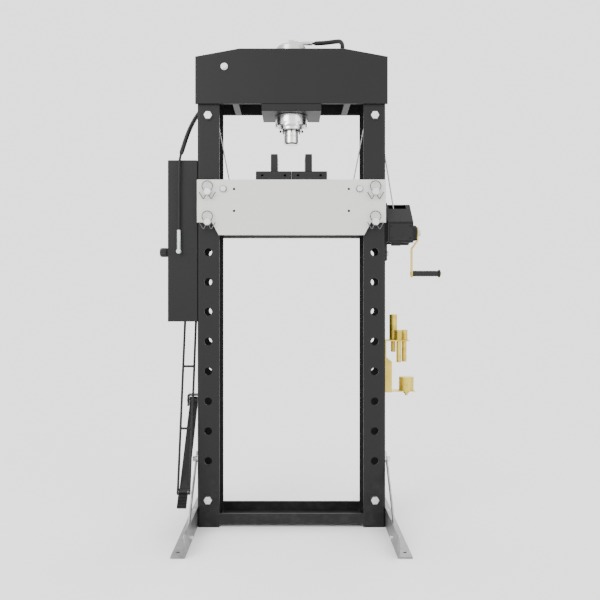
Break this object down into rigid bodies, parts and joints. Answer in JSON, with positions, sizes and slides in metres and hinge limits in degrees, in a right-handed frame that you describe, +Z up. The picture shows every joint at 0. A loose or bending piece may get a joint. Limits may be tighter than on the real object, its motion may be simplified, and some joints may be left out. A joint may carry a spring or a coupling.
{
  "type": "hydraulic workshop press",
  "caption": "Floor-standing H-frame hydraulic press with channel uprights, pinned bed, foot pump on the left and a bed winch on the right.",
  "frame": {"origin": "on the floor, midway between the uprights and midway through their depth", "axes": "+Z up, +X to the operator's right, +Y away from the operator"},
  "size_m": [1.1128, 0.782, 1.9224],
  "materials": {
    "black_paint": "satin powder coat",
    "bed_paint": "satin paint",
    "zinc": "zinc plated",
    "yellow_zinc": "yellow zinc plated",
    "chrome": "ground and chromed",
    "machined_steel": "machined",
    "dark_steel": "blackened",
    "rope_steel": "stranded",
    "rubber": "matt",
    "grip_plastic": "matt"
  },
  "bodies": {
    "frame": {"upright_left": "black_paint", "upright_right": "black_paint", "head_front_plate": "black_paint", "head_rear_plate": "black_paint", "head_spacers": "black_paint", "cylinder_block": "black_paint", "bottom_channel": "black_paint", "foot_left": "zinc", "foot_right": "zinc", "foot_braces": "zinc", "frame_bolts": "zinc", "cylinder_barrel": "machined_steel", "cylinder_nut": "chrome", "gland": "chrome", "gland_screws": "dark_steel", "ram_wiper": "rubber", "port_elbow": "zinc", "oil_tank": "black_paint", "pump_manifold": "black_paint", "pump_cover": "black_paint", "pump_barrel": "machined_steel", "banjo_fitting": "zinc", "pedal_bracket": "black_paint", "bed_front_plate": "bed_paint", "bed_rear_plate": "bed_paint", "bed_crossbars": "bed_paint", "bed_tie_bolts": "zinc", "axle_bolts": "zinc", "rope_anchor": "machined_steel", "lift_rope": "rope_steel", "winch_housing": "black_paint", "pressure_hose": "rubber", "hose_sleeve": "rubber", "hose_crimps": "zinc", "punch_rack": "yellow_zinc", "tall_punch": "yellow_zinc", "stepped_punches": "yellow_zinc", "mandrel": "yellow_zinc", "press_block_left": "dark_steel", "press_block_right": "dark_steel"},
    "ram": {"ram": "chrome", "piston": "machined_steel", "saddle": "chrome"},
    "release_valve": {"release_knob": "grip_plastic"},
    "pedal": {"pedal_lever": "black_paint", "pedal_pad": "rubber", "pedal_pins": "zinc"},
    "ladder_link": {"pedal_link": "black_paint"},
    "plunger": {"pump_plunger": "machined_steel"},
    "drum": {"winch_drum": "zinc", "drum_shaft": "zinc"},
    "crank": {"crank_shaft": "zinc", "brake_hub": "black_paint", "crank": "yellow_zinc"},
    "grip": {"crank_grip": "grip_plastic"},
    "pulley": {"rope_pulley": "machined_steel"},
    "pin_upper_left": {"bed_pin_upper_left": "zinc"},
    "pin_upper_right": {"bed_pin_upper_right": "zinc"},
    "pin_lower_left": {"bed_pin_lower_left": "zinc"},
    "pin_lower_right": {"bed_pin_lower_right": "zinc"}
  },
  "joints": [
    {"name": "ram_slide", "type": "slide", "parent": "frame", "child": "ram", "axis": [0, 0, -1], "range_m": [0, 0.115], "stiffness_N_per_m": 500, "springref_m": -0.3},
    {"name": "valve_turn", "type": "hinge", "parent": "frame", "child": "release_valve", "pos_m": [-0.49, 0, 1.0625], "axis": [-1, 0, 0], "range_deg": [0, 360]},
    {"name": "pedal_press", "type": "hinge", "parent": "frame", "child": "pedal", "pos_m": [-0.4, 0.1, 0.461], "axis": [1, 0, 0], "range_deg": [0, 14], "stiffness_Nm_per_rad": 14, "springref_deg": -57.3},
    {"name": "link_swing", "type": "hinge", "parent": "pedal", "child": "ladder_link", "pos_m": [-0.4, -0.178, 0.165], "axis": [1, 0, 0], "range_deg": [-7.04, 0]},
    {"name": "plunger_slide", "type": "slide", "parent": "frame", "child": "plunger", "axis": [0, 0, -1], "range_m": [0, 0.04117]},
    {"name": "drum_spin", "type": "hinge", "parent": "frame", "child": "drum", "pos_m": [0.4, 0.025, 1.19096], "axis": [1, 0, 0], "continuous": true},
    {"name": "crank_spin", "type": "hinge", "parent": "frame", "child": "crank", "pos_m": [0.49, -0.005, 1.139], "axis": [1, 0, 0], "continuous": true},
    {"name": "grip_spin", "type": "hinge", "parent": "crank", "child": "grip", "pos_m": [0.53, -0.005, 0.979], "axis": [1, 0, 0], "continuous": true},
    {"name": "pulley_spin", "type": "hinge", "parent": "frame", "child": "pulley", "pos_m": [0.321, 0, 1.586], "axis": [0, 1, 0], "continuous": true},
    {"name": "pin_upper_left_pull", "type": "slide", "parent": "frame", "child": "pin_upper_left", "axis": [0, -1, 0], "range_m": [0, 0.24]},
    {"name": "pin_upper_right_pull", "type": "slide", "parent": "frame", "child": "pin_upper_right", "axis": [0, -1, 0], "range_m": [0, 0.24]},
    {"name": "pin_lower_left_pull", "type": "slide", "parent": "frame", "child": "pin_lower_left", "axis": [0, -1, 0], "range_m": [0, 0.24]},
    {"name": "pin_lower_right_pull", "type": "slide", "parent": "frame", "child": "pin_lower_right", "axis": [0, -1, 0], "range_m": [0, 0.24]}
  ],
  "couplings": [
    {"joint": "link_swing", "follows": "pedal_press", "ratio": -0.50209},
    {"joint": "plunger_slide", "follows": "pedal_press", "m_per_rad": 0.16844},
    {"joint": "crank_spin", "follows": "drum_spin", "ratio": -3.1667}
  ]
}
